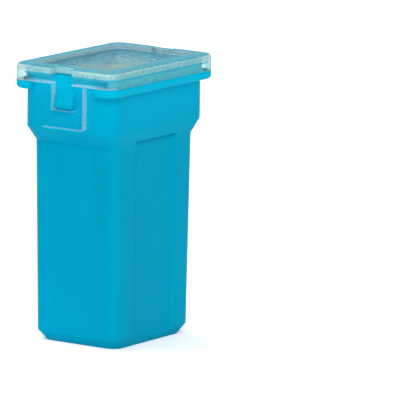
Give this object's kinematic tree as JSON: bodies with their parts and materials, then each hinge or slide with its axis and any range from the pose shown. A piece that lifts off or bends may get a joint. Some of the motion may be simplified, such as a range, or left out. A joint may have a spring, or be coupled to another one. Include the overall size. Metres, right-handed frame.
{
  "type": "automotive cartridge fuse",
  "caption": "Tall blue cartridge fuse with a clear clip-on window cover and push-on female terminals in its end face, for protecting vehicle power circuits.",
  "frame": {"origin": "middle of the terminal end face, on which the fuse stands", "axes": "+Z from the terminal end to the cover, X across the wide faces with a latch at each end, Y across the narrow faces"},
  "size_m": [0.0202, 0.0142, 0.032],
  "materials": {
    "blue_nylon": "satin",
    "clear_cover": "clear",
    "copper_alloy": "satin",
    "tin": "matte"
  },
  "bodies": {
    "root": {"housing": "blue_nylon", "window_cover": "clear_cover", "fuse_element": "copper_alloy", "tin_pellet": "tin"}
  },
  "joints": []
}
